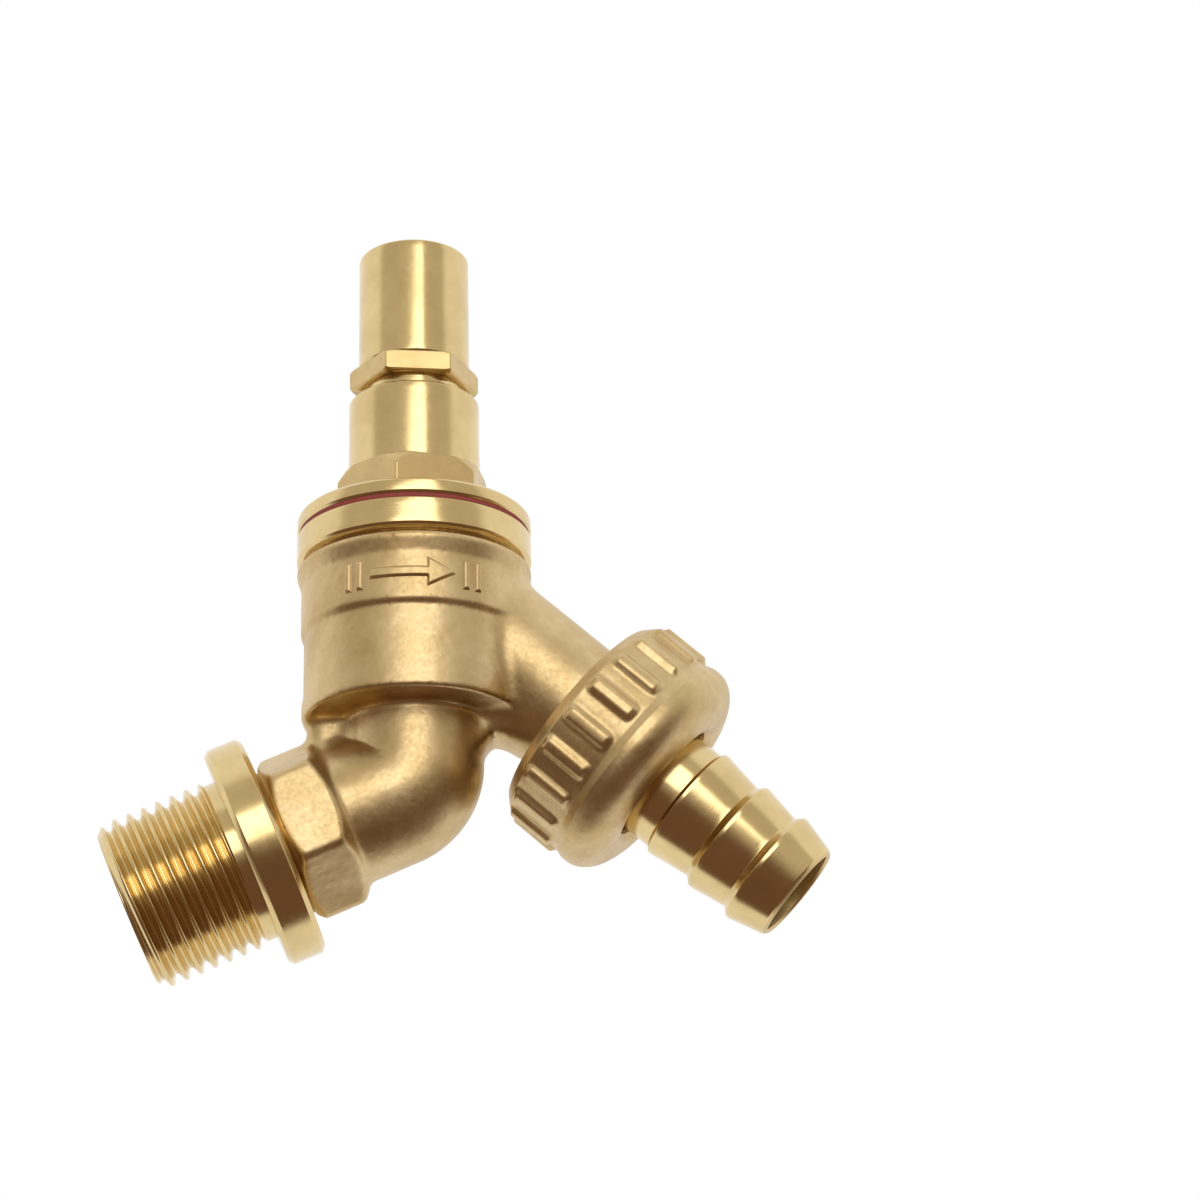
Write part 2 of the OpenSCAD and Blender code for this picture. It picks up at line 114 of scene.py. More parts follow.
def roundedLoop(corners, steps=4, spacing=1.2):
    # closed outline of (radius, height, fillet) corners: each corner becomes an arc that meets
    # both sides, and long sides are divided so that the rings stay near each other
    corners = np.array(corners, float)
    points = []
    for i in range(len(corners)):
        here, fillet = corners[i, :2], corners[i, 2]
        before, after = corners[i - 1, :2] - here, corners[(i + 1) % len(corners), :2] - here
        reachBefore, reachAfter = np.linalg.norm(before), np.linalg.norm(after)
        before, after = before / reachBefore, after / reachAfter
        half = math.acos(np.clip(before @ after, -1, 1)) / 2
        if fillet <= 0 or abs(half - math.pi / 2) < 0.02:
            points.append(here[None])
            continue
        length = min(fillet / math.tan(half), reachBefore * 0.48, reachAfter * 0.48)
        radius = length * math.tan(half)
        centre = here + (before + after) / np.linalg.norm(before + after) * radius / math.sin(half)
        start, end = here + before * length - centre, here + after * length - centre
        turn = math.atan2(start[0] * end[1] - start[1] * end[0], start @ end)
        angle = np.linspace(0, turn, steps + 1)
        points.append(centre + np.stack([np.cos(angle) * start[0] - np.sin(angle) * start[1],
                                         np.sin(angle) * start[0] + np.cos(angle) * start[1]], -1))
    outline = np.concatenate(points)
    nextPoint = np.roll(outline, -1, 0)
    filled = []
    for start, end in zip(outline, nextPoint):
        count = max(1, math.ceil(np.linalg.norm(end - start) / spacing))
        filled.append(start + (end - start) * np.arange(count)[:, None] / count)
    return np.concatenate(filled)


def lathe(axis, corners, count=144, steps=4, spacing=1.2):
    # a closed outline turned round an axis
    outline = roundedLoop(corners, steps, spacing)
    angle = np.linspace(0, 2 * np.pi, count, endpoint=False)
    return closedGrid(onAxis(axis, outline[:, :1], angle[None], outline[:, 1:]))


def smoothStep(low, high, value):
    t = np.clip((value - low) / (high - low), 0, 1)
    return t * t * (3 - 2 * t)


def softMin(a, b, width):
    # smaller of two values, with a rounded change from one to the other
    h = np.clip(0.5 + 0.5 * (b - a) / width, 0, 1)
    return b + (a - b) * h - width * h * (1 - h)


def softMax(a, b, width):
    return -softMin(-a, -b, width)


def prism(axis, sides, acrossFlats, turn, bore, low, high, topCone, footCone,
          soft=0.12, rows=46, count=360):
    # radius = the smaller of a regular polygon's radius and two cones that turn its corners off;
    # a corner points at the given turn, a cone is (radius at the end, slope), and a bore closes it
    angle = np.linspace(0, 2 * np.pi, count, endpoint=False)
    part = 2 * np.pi / sides
    flat = acrossFlats / 2 / np.cos(angle % part - part / 2)
    height = np.linspace(low, high, rows)[:, None]
    outer = softMin(flat[None], topCone[0] + (high - height) * topCone[1], soft)
    outer = softMin(outer, footCone[0] + (height - low) * footCone[1], soft)
    height = np.broadcast_to(height, outer.shape)
    lid = np.broadcast_to(np.array([bore, bore])[:, None], (2, count))
    radius = np.concatenate([lid[:1], outer, lid[1:]])
    height = np.concatenate([np.full((1, count), low), height, np.full((1, count), high)])
    return closedGrid(onAxis(axis, radius, angle[None] + turn, height))


def threadRadius(angle, height, crest, depth, pitch):
    # a right-handed helix: rounded 55 degree teeth, one for each pitch of height or turn of angle
    phase = height / pitch - angle / (2 * np.pi)
    wave = np.abs((phase % 1) - 0.5) * 2
    return crest - depth * smoothStep(0.08, 0.92, wave)


def threadedTube(axis, crest, depth, pitch, bore, low, high, chamfer, plain, count=168):
    # thread from low to high, faded into a plain ring beside its shoulder and cut by an end chamfer
    angle = np.linspace(0, 2 * np.pi, count, endpoint=False)[None]
    height = np.linspace(low, high, int((high - low) / 0.13))[:, None]
    radius = threadRadius(angle, height, crest, depth, pitch)
    ring = crest - depth * 0.42
    radius = radius + (ring - radius) * smoothStep(high - plain - 0.5, high - plain, height)
    radius = softMin(radius, crest - chamfer + (height - low) * 1.0, 0.15)
    ends = np.full((1, count), bore)
    radius = np.concatenate([ends, ends + 0.35, np.broadcast_to(radius, (height.size, count)), ends])
    rowHeight = np.concatenate([[low + 0.35, low], height[:, 0], [high]])[:, None]
    return closedGrid(onAxis(axis, radius, angle, rowHeight))


def polygonDistance(across, up, corners):
    # signed distance to a flat outline, negative inside: the nearest side, with the sign from
    # the number of sides crossed
    best = np.full(across.shape, 1e9)
    sign = np.ones(across.shape)
    for i in range(len(corners)):
        (ax, ay), (bx, by) = corners[i], corners[i - 1]
        ex, ey = bx - ax, by - ay
        wx, wy = across - ax, up - ay
        t = np.clip((wx * ex + wy * ey) / (ex * ex + ey * ey), 0, 1)
        dx, dy = wx - ex * t, wy - ey * t
        best = np.minimum(best, dx * dx + dy * dy)
        above, below, side = up >= ay, up < by, ex * wy > ey * wx
        flip = (above & below & side) | (~above & ~below & ~side)
        sign = np.where(flip, -sign, sign)
    return sign * np.sqrt(best)


def fieldSurface(distance, low, high, step, rounds=4):
    # closed surface where a distance field is zero: one point in each grid cell that it crosses,
    # joined over each grid edge that it crosses, then moved onto the surface along the slope
    low, high = np.array(low, float), np.array(high, float)
    size = (np.ceil((high - low) / step / 4) * 4).astype(int)
    block = np.stack(np.meshgrid(*[np.arange(n // 4) for n in size], indexing="ij"), -1)
    coarse = low + (block * 4 + 1.5) * step
    value = distance(coarse.reshape(-1, 3)).reshape(coarse.shape[:3])
    value = value.repeat(4, 0).repeat(4, 1).repeat(4, 2)
    near = np.argwhere(np.abs(value) < step * 4.5)
    value[tuple(near.T)] = distance(low + near * step)
    inside = value < 0
    count = sum(inside[i:size[0] - 1 + i, j:size[1] - 1 + j, k:size[2] - 1 + k].astype(np.int8)
                for i in (0, 1) for j in (0, 1) for k in (0, 1))
    cells = np.argwhere((count > 0) & (count < 8))
    index = np.full(count.shape, -1)
    index[tuple(cells.T)] = np.arange(len(cells))
    faces = []
    for axis in range(3):
        first, second = [a for a in range(3) if a != axis]
        here = np.moveaxis(inside, axis, 0)
        crossed = np.argwhere(here[1:, 1:-1, 1:-1] != here[:-1, 1:-1, 1:-1])
        enters = here[1:, 1:-1, 1:-1][tuple(crossed.T)]
        turned = np.moveaxis(index, axis, 0)
        i, j, k = crossed[:, 0], crossed[:, 1] + 1, crossed[:, 2] + 1
        ring = np.stack([turned[i, j - 1, k - 1], turned[i, j, k - 1],
                         turned[i, j, k], turned[i, j - 1, k]], -1)
        flip = enters if axis != 1 else ~enters
        faces.append(np.where(flip[:, None], ring[:, ::-1], ring))
    points = low + (cells + 0.5) * step
    gap = 0.03
    for _ in range(rounds):
        rise = [distance(points + gap * e) - distance(points - gap * e) for e in np.eye(3)]
        slope = np.stack(rise, -1) / (2 * gap)
        steepness = np.maximum((slope ** 2).sum(1, keepdims=True), 0.2)
        move = distance(points)[:, None] * slope / steepness
        points = points - np.clip(move, -0.6 * step, 0.6 * step)
    return points, np.concatenate(faces)


def riseAround(points, axis):
    # distance from an axis and height along it
    start, along, first, second = axis
    offset = points - start
    height = offset @ along
    return np.hypot(offset @ first, offset @ second), height


# What the forging is made of, in millimetres
forging = {
    "hexAcross": 18.7, "hexStart": 5.15, "hexEnd": 12.6, "hexSoft": 0.7,
    "elbowRadius": 8.4, "bendRadius": 4.4, "waterway": 6.1,
    "chamberFoot": 8.4, "chamberRadius": 13.5, "bandFoot": 19.0, "bandRadius": 13.9,
    "beadFoot": 25.4, "beadSlope": 1.8, "beadRadius": 14.45, "top": 28.1, "groove": 1.0,
    "edge": 0.5,
    "spoutRadius": 8.45, "spoutEnd": 28.6, "spoutBore": 5.0,
    "spoutFillet": 1.5, "footFillet": 0.9, "webHalf": 3.6, "webFillet": 2.2,
    "gussetHalf": 3.2, "gussetFillet": 1.6, "gussetIn": 0.5, "gussetRound": 2.6, "step": 0.336,
}


def forgedDistance(points):
    # elbow, hexagon, chamber, web and spout, joined with the rounded corners of a forging die
    f = forging
    x, y, z = points.T
    bend = math.pi / 2 - lean
    reach = f["bendRadius"] * math.tan(bend / 2)
    bendX = layout["valveX"] - reach
    offset = points - valveFoot
    out, up = offset @ valveOut, offset @ valveUp
    # elbow: distance to its centre line of straight, arc and straight, less the tube's radius
    turn = np.arctan2(x - bendX, f["bendRadius"] - z)
    arc = np.abs(np.hypot(x - bendX, z - f["bendRadius"]) - f["bendRadius"])
    arc = np.where((turn > 0) & (turn < bend), arc, 1e3)
    straight = np.hypot(np.maximum(x - bendX, 0), z)
    riser = np.hypot(out, np.maximum(reach - up, 0))
    centre = np.minimum(np.minimum(arc, straight), riser)
    elbow = np.hypot(centre, y)
    elbow = np.maximum(elbow - f["elbowRadius"], up - f["chamberFoot"] - 3)
    elbow = np.maximum(elbow, 3.0 - x)
    # hexagon: three pairs of flats, its corners turned off at both ends
    flats = [np.abs(y * math.cos(a) + z * math.sin(a)) for a in (0, math.pi / 3, -math.pi / 3)]
    across = f["hexAcross"] / 2
    hexagon = softMax(softMax(flats[0], flats[1], f["hexSoft"]), flats[2], f["hexSoft"]) - across
    round_ = np.hypot(y, z)
    hexagon = softMax(hexagon, (round_ - (across - 1.0) + (x - f["hexEnd"]) * 1.5) * 0.55, 0.5)
    hexagon = softMax(hexagon, (round_ - (across - 0.2) + (f["hexStart"] - x) * 1.6) * 0.53, 0.3)
    hexagon = softMax(hexagon, f["hexStart"] - x, 0.2)
    shape = softMin(elbow, hexagon, 0.6)
    # chamber: its half section turned round the valve axis
    e = f["edge"]
    radius = np.hypot(out, y)
    wall, band, bead = f["chamberRadius"] - e, f["bandRadius"] - e, f["beadRadius"] - e
    section = [(-5, f["chamberFoot"] + e), (wall, f["chamberFoot"] + e),
               (wall, f["bandFoot"]), (band, f["bandFoot"] + 0.5),
               (band, f["beadFoot"]), (bead, f["beadFoot"] + f["beadSlope"]),
               (bead, f["top"] - 0.75), (bead - f["groove"], f["top"] - 0.3),
               (bead - f["groove"], f["top"] + 1.6), (-5, f["top"] + 1.6)]
    chamber = polygonDistance(radius, up, section) - e
    shape = softMin(shape, chamber, f["footFillet"])
    # spout and the web under the chamber
    spoutRound, spoutUp = riseAround(points, spoutAxis)
    spout = np.maximum(spoutRound - f["spoutRadius"], np.maximum(spoutUp - f["spoutEnd"], 6 - spoutUp))
    shape = softMin(shape, spout, f["spoutFillet"])
    web = polygonDistance(out, up, [(5, 4.2), (8.2, 5.0), (9.6, 5.9), (11.2, 5.9),
                                    (15.2, 4.6), (15.2, 11), (5, 11)])
    web = softMax(web, np.abs(y) - f["webHalf"], 1.5)
    shape = softMin(shape, web, f["webFillet"])
    # gusset on the wall side: the chamber's side runs on down to the hexagon
    side = f["gussetIn"] - f["chamberRadius"]
    gusset = polygonDistance(out, up, [(side, 10), (side, 4.2), (-9, 1), (0, 1), (0, 10)])
    gusset = softMax(gusset, np.abs(y) - f["gussetHalf"], f["gussetRound"])
    shape = softMin(shape, gusset, f["gussetFillet"])
    # waterway, chamber and spout bore
    hollow = np.hypot(centre, y) - f["waterway"]
    cavity = polygonDistance(radius, up, [(-5, 11.5), (11.2, 11.5), (11.2, 24),
                                          (12, 24.8), (12, 33), (-5, 33)])
    seat = polygonDistance(radius, up, [(6.1, 10), (7.5, 10), (7.5, 13.5), (6.1, 13.5)])
    cavity = np.maximum(cavity, -seat)
    hollow = np.minimum(np.minimum(np.maximum(hollow, up - 12), cavity),
                        np.maximum(spoutRound - f["spoutBore"], 12 - spoutUp))
    return softMax(shape, -hollow, 0.3)


print("working out the forging")
body = joined("forgedBody", fieldSurface(forgedDistance, (2, -16, -11), (63, 16, 46), forging["step"]))

# Turned ends of the body: screwed inlet with its wall flange, rim, and the screwed spout
turnedEnds = {
    "inletCrest": 10.4775, "inletDepth": 1.162, "pitch": 1.814, "inletEnd": -15.1, "inletBore": 6.1,
    "plainRing": 1.7, "flangeRadius": 13.75, "flangeThick": 4.7, "flangeChamfer": 0.6,
    "rimRadius": 14.5, "rimFoot": 28.6, "rimTop": 32.2,
    "spoutCrest": 13.2, "spoutDepth": 1.1, "spoutStart": 28.5, "spoutEnd": 34.4, "spoutMouth": 6.2,
}


def makeInlet():
    t = turnedEnds
    spigot = threadedTube(inletAxis, t["inletCrest"], t["inletDepth"], t["pitch"], t["inletBore"],
                          t["inletEnd"], 0.4, 1.1, t["plainRing"])
    r, thick, c = t["flangeRadius"], t["flangeThick"], t["flangeChamfer"]
    corners = [(t["inletBore"], 0.1, 0), (9.6, 0.1, 0.1), (9.9, 0, 0.1), (r - c, 0, 0.15), (r, c, 0.15),
               (r, thick - c, 0.15), (r - c, thick, 0.15), (9.4, thick, 0.3), (9.0, thick + 0.3, 0.1),
               (8.6, thick + 0.9, 0), (t["inletBore"], thick + 0.9, 0)]
    flange = lathe(inletAxis, corners, count=200, spacing=0.8)
    return joined("inletSpigot", spigot, flange)


def makeRim():
    t = turnedEnds
    r = t["rimRadius"]
    foot, top = t["rimFoot"], t["rimTop"]
    corners = [(12.0, foot, 0), (13.9, foot - 0.15, 0.1), (r - 0.25, foot, 0.12), (r, foot + 0.3, 0.15),
               (r, top - 0.2, 0.15), (r - 0.2, top, 0.1), (12.0, top, 0.2)]
    return joined("bodyRim", lathe(valveAxis, corners, count=200, spacing=0.8))


def makeSpoutEnd():
    t = turnedEnds
    thread = threadedTube(spoutAxis, t["spoutCrest"], t["spoutDepth"], t["pitch"], t["spoutMouth"],
                          t["spoutStart"], t["spoutEnd"], 0.4, 0.0)
    return joined("spoutThread", thread)


inlet, rim, spoutEnd = makeInlet(), makeRim(), makeSpoutEnd()
print("turned ends of the body done")

# Flow arrow in relief on the band, between two pairs of bars
mark = {"radius": 13.87, "middle": 22.65, "turn": -88.0, "height": 3.6, "relief": 0.42, "soft": 0.22}


def makeMark():
    # radius = band + relief, which rises softly over the edge of the flat outline
    m = mark
    half, h = 5.2, m["height"] / 2
    arrow = [(-half, -h / 3), (half - 3.4, -h / 3), (half - 3.4, -h), (half, 0),
             (half - 3.4, h), (half - 3.4, h / 3), (-half, h / 3)]
    across, up = np.meshgrid(np.linspace(-9.4, 9.4, 190), np.linspace(-h - 0.6, h + 0.6, 52),
                             indexing="ij")
    flat = polygonDistance(across, up, arrow)
    for left in (-8.6, -7.0, 6.2, 7.8):
        bar = [(left, -h), (left + 0.8, -h), (left + 0.8, h), (left, h)]
        flat = np.minimum(flat, polygonDistance(across, up, bar))
    relief = m["relief"] * smoothStep(m["soft"], -m["soft"], flat) - 0.06
    angle = math.radians(m["turn"]) + across / m["radius"]
    outer = onAxis(valveAxis, m["radius"] + relief, angle, m["middle"] + up)
    inner = onAxis(valveAxis, m["radius"] - 0.5, angle, m["middle"] + up)
    # outer face and its inner copy, closed into one shell round the long way and at both ends
    shell = np.concatenate([outer, inner[:, ::-1]], 1)
    rows, cols = shell.shape[:2]
    index = np.arange(rows * cols).reshape(rows, cols)
    right = np.roll(index, -1, 1)
    faces = np.stack([index[:-1], right[:-1], right[1:], index[1:]], -1).reshape(-1, 4)
    width = cols // 2
    caps = []
    for row in (0, rows - 1):
        a, b = index[row, :width], index[row, ::-1][:width]
        cap = np.stack([a[:-1], a[1:], b[1:], b[:-1]], -1)
        caps.append(cap if row else cap[:, ::-1])
    return joined("flowArrow", (shell.reshape(-1, 3), np.concatenate([faces] + caps)))


arrow = makeMark()

# Bonnet: flange, hexagon with turned corners, and barrel
bonnetSizes = {"flange": 14.5, "foot": 32.7, "hexFoot": 34.7, "hexTop": 40.5, "hexAcross": 17.2,
               "hexTurn": 20.0, "barrel": 8.2, "top": 50.7, "box": 6.4, "boxFloor": 42.2,
               "shank": 11.95, "shankFoot": 26.0, "bore": 4.45}


def makeBonnet():
    b = bonnetSizes
    flange, barrel, box = b["flange"], b["barrel"], b["box"]
    corners = [
        (b["bore"], b["shankFoot"], 0), (b["shank"], b["shankFoot"], 0.3), (b["shank"], b["foot"], 0),
        (flange - 0.3, b["foot"], 0.1), (flange, b["foot"] + 0.3, 0.15), (flange, b["hexFoot"] - 0.35, 0.2),
        (flange - 0.35, b["hexFoot"], 0.2), (barrel + 0.15, b["hexFoot"], 0), (barrel, b["hexTop"], 0),
        (barrel, b["top"] - 0.3, 0.2), (barrel - 0.3, b["top"], 0.2), (box + 0.4, b["top"], 0.1),
        (box, b["top"] - 0.4, 0.1), (box, b["boxFloor"], 0), (b["bore"], b["boxFloor"], 0)]
    return joined("bonnetTurned", lathe(valveAxis, corners, count=200, spacing=0.8))


def makeBonnetHexagon():
    b = bonnetSizes
    half = b["hexAcross"] / 2
    return joined("bonnetHexagon", prism(
        valveAxis, 6, b["hexAcross"], math.radians(b["hexTurn"]), b["barrel"] - 1.0, b["hexFoot"] - 0.05,
        b["hexTop"], (half + 0.35, 0.6), (half + 1.2, 2.0)))


bonnet, bonnetHexagon = makeBonnet(), makeBonnetHexagon()

# Lockshield: thin tube over a small hexagonal collar and the neck screwed into the bonnet
shieldSizes = {"tube": 7.0, "bore": 5.7, "top": 71.0, "floor": 53.7, "collarFoot": 52.7,
               "collarTop": 55.2, "collarAcross": 14.1, "collarTurn": 7.0, "neck": 6.35,
               "neckFoot": 46.6, "stemHole": 4.5}


def makeShield():
    s = shieldSizes
    tube, bore, neck, top = s["tube"], s["bore"], s["neck"], s["top"]
    corners = [
        (s["stemHole"], s["neckFoot"], 0.1), (neck, s["neckFoot"], 0.2), (neck, s["collarFoot"] - 0.5, 0.2),
        (neck - 0.3, s["collarFoot"], 0), (neck - 0.3, s["collarTop"] - 0.3, 0),
        (tube - 0.15, s["collarTop"], 0.15), (tube, s["collarTop"] + 0.35, 0.2), (tube, top - 0.2, 0.18),
        (tube - 0.2, top, 0.15), (bore + 0.25, top, 0.15), (bore, top - 0.25, 0.15),
        (bore, s["floor"], 0.2), (s["stemHole"], s["floor"], 0.1)]
    return joined("shieldTube", lathe(valveAxis, corners, count=180, spacing=0.8))


def makeCollar():
    s = shieldSizes
    half = s["collarAcross"] / 2
    return joined("shieldCollar", prism(
        valveAxis, 6, s["collarAcross"], math.radians(s["collarTurn"]), s["neck"] - 1.2, s["collarFoot"],
        s["collarTop"], (half + 0.8, 2.0), (half + 0.85, 2.0), rows=24))


shield, collar = makeShield(), makeCollar()

# Spindle: screw, stem and square head. Its foot turns 0.05 mm above the jumper
spindleSizes = {"stem": 4.4, "screw": 5.8, "square": 6.0, "corner": 4.2, "foot": 19.25, "socket": 2.95,
                "socketTop": 32.0, "screwFoot": 20.5, "screwTop": 33.9, "squareFoot": 55.5,
                "squareTop": 65.5}


def makeSpindle():
    s = spindleSizes
    stem, socket, screw, squareFoot = s["stem"], s["socket"], s["screw"], s["squareFoot"]
    corners = [(socket, s["foot"], 0), (5.0, s["foot"], 0.2), (5.0, s["screwFoot"], 0),
               (screw, s["screwFoot"] + 0.4, 0.1), (screw, s["screwTop"] - 0.7, 0.1),
               (stem, s["screwTop"], 0.1), (stem, squareFoot - 0.3, 0.15),
               (stem - 0.5, squareFoot + 0.05, 0.1), (0.05, squareFoot + 0.05, 0),
               (0.05, s["socketTop"], 0), (socket, s["socketTop"] - 0.3, 0)]
    head = prism(valveAxis, 4, s["square"], math.pi / 4, 0.02, squareFoot, s["squareTop"],
                 (s["square"] / 2 - 0.25, 1.0), (s["corner"] + 0.2, 0.0), soft=0.1, rows=60, count=240)
    return joined("spindleStem", lathe(valveAxis, corners, count=96), head)


spindle = makeSpindle()
print("bonnet, shield and spindle done")

# Union nut: a ribbed barrel, a plain bead, and a domed front dished towards its hole
nutSizes = {"back": 27.2, "front": 41.0, "radius": 14.35, "ribHeight": 0.69, "ribs": 20,
            "ribTurn": 16.7, "ribHalf": 1.05, "ribStart": 28.7, "ribEnd": 35.0, "ribSoft": 0.42,
            "lip": 7.8, "lipFoot": 40.0, "hole": 8.3, "threadBore": 12.3, "threadDepth": 0.9,
            "threadEnd": 38.5, "domeFoot": 37.1, "domeWidth": 5.25, "domeHeight": 3.9}


def makeNut():
    # radius = profile + rib height x the rib's rounded outline round the axis and along it
    n = nutSizes
    r, front, back = n["radius"], n["front"], n["back"]
    lip, threadBore = n["lip"], n["threadBore"]
    dome = [(r + 0.3 - n["domeWidth"] * (1 - math.cos(a)), n["domeFoot"] + n["domeHeight"] * math.sin(a), 0)
            for a in np.radians(np.arange(6, 91, 7))]
    barrel = [(r - 1.1, back, 0.25), (r, back + 1.2, 0.4),
              (r, front - 5.4, 0.8), (r + 0.3, front - 4.4, 0.5)]
    mouth = [(lip + 0.8, front - 0.15, 0.4), (lip, front - 0.75, 0.3), (lip, n["lipFoot"], 0.1),
             (n["hole"], n["lipFoot"], 0), (n["hole"], n["threadEnd"], 0.1),
             (threadBore, n["threadEnd"], 0.2), (threadBore, back + 0.9, 0.1),
             (threadBore + 0.9, back, 0.2)]
    outline = roundedLoop(barrel + dome + mouth, steps=5, spacing=0.275)
    perRib = 24
    local = np.linspace(-0.5, 0.5, perRib, endpoint=False)
    local = local - 0.055 * np.sin(4 * np.pi * local)
    around = ((np.arange(n["ribs"])[:, None] + local) * 2 * np.pi / n["ribs"]).ravel()
    angle = around + math.radians(n["ribTurn"])
    radius, height = outline[:, :1], outline[:, 1:]
    arc = (around * n["ribs"] / (2 * np.pi) + 0.5) % 1 - 0.5
    arc = arc[None] * 2 * np.pi * r / n["ribs"]
    middle, half = (n["ribStart"] + n["ribEnd"]) / 2, (n["ribEnd"] - n["ribStart"]) / 2
    # rounded box distance of each rib in the flat of the barrel's surface
    qx = np.abs(arc) - n["ribHalf"] + 0.6
    qy = np.abs(height - middle) - half + 0.6
    flat = np.hypot(np.maximum(qx, 0), np.maximum(qy, 0)) + np.minimum(np.maximum(qx, qy), 0) - 0.6
    crown = 1 - 0.22 * (arc / n["ribHalf"]) ** 2
    outside = smoothStep(r - 2.6, r - 1.4, radius) * (radius > threadBore + 0.95)
    edge = smoothStep(n["ribSoft"] * 0.55, -n["ribSoft"], flat)
    rib = n["ribHeight"] * edge * np.maximum(crown, 0) * outside
    screwed = (np.abs(radius - threadBore) < 0.05) & (height > back + 1)
    phase = (height / turnedEnds["pitch"] - angle[None] / (2 * np.pi)) % 1
    tooth = np.where(screwed, n["threadDepth"] * smoothStep(0.1, 0.9, np.abs(phase - 0.5) * 2), 0)
    return joined("unionNut", closedGrid(onAxis(spoutAxis, radius + rib + tooth, angle[None], height)))


nut = makeNut()

# Hose tail: shoulder inside the nut, neck, three barbs and a thin mouth
tailSizes = {"seat": 36.4, "flange": 12.0, "shoulder": 38.3, "boss": 8.0, "bossEnd": 39.9, "neck": 7.0,
             "neckEnd": 43.9, "crest": 7.5, "valley": 6.7, "pitch": 5.8, "barbs": 3, "mouth": 6.4,
             "end": 61.4, "bore": 5.6}


def makeTail():
    t = tailSizes
    corners = [(t["bore"], t["seat"], 0.1), (t["flange"], t["seat"], 0.2),
               (t["flange"], t["shoulder"], 0.2), (t["boss"], t["shoulder"], 0),
               (t["boss"], t["bossEnd"] - 0.5, 0.2), (t["neck"], t["bossEnd"] - 0.1, 0.4)]
    for i in range(t["barbs"]):
        foot = t["neckEnd"] + i * t["pitch"]
        rise = 0.35 if i == 0 else 0.9
        corners += [(t["neck"] if i == 0 else t["valley"], foot, 0.12), (t["crest"], foot + rise, 0.16),
                    (t["crest"] - 0.03, foot + rise + 0.45, 0.3)]
    corners += [(t["mouth"], t["end"] - 0.45, 0.2), (t["mouth"] - 0.42, t["end"], 0.12),
                (t["bore"] + 0.2, t["end"], 0.15), (t["bore"], t["end"] - 0.3, 0.15)]
    return joined("hoseTail", lathe(spoutAxis, corners, count=160, spacing=0.6))


tail = makeTail()
print("union nut and hose tail done")

# Finishes, with depths in millimetres
finishes = {
    "turned": {"bright": "#E2C992", "dull": "#D6BC86", "roughness": 0.15, "roughnessSpread": 0.09,
               "lineDepth": 0.003, "drilledRadius": 6.2, "drilledRoughness": 0.42},
    "milled": {"bright": "#D9BD86", "dull": "#CBAF7A", "roughness": 0.30, "roughnessSpread": 0.10,
               "lineDepth": 0.002, "drilledRadius": 6.2, "drilledRoughness": 0.42},
    "forged": {"bright": "#DCC394", "dull": "#C8AC79", "roughness": 0.34, "roughnessSpread": 0.12,
               "waveDepth": 0.085, "pitDepth": 0.022, "grainDepth": 0.007},
}


def linear(hexColour):
    # sRGB hex to linear, with alpha
    channels = [int(hexColour[i:i + 2], 16) / 255 for i in (1, 3, 5)]
    return [c / 12.92 if c <= 0.04045 else ((c + 0.055) / 1.055) ** 2.4 for c in channels] + [1.0]


def addNode(tree, kind, settings=None, **inputs):
    # one node: plain attributes from settings, sockets from inputs (a value or a socket)
    node = tree.nodes.new(kind)
    for key, value in (settings or {}).items():
        setattr(node, key, value)
    for key, value in inputs.items():
        socket = node.inputs[int(key[1:]) if key[0] == "i" and key[1:].isdigit() else key.replace("_", " ")]
        if isinstance(value, bpy.types.NodeSocket):
            tree.links.new(value, socket)
        else:
            socket.default_value = value
    return node


def startMaterial(name):
    material = bpy.data.materials.new(name)
    material.use_nodes = True
    tree = material.node_tree
    return material, tree, tree.nodes["Principled BSDF"]


def localCoordinates(tree, axis):
    # object coordinates in millimetres, with Z along the piece's own axis
    start, along = axis[0], axis[1]
    tilt = math.atan2(along[0], along[2])
    coordinates = addNode(tree, "ShaderNodeTexCoord").outputs["Object"]
    return addNode(tree, "ShaderNodeMapping", {"vector_type": "TEXTURE"}, Vector=coordinates,
                   Location=start * mm, Rotation=(0, tilt, 0), Scale=(mm, mm, mm)).outputs[0]


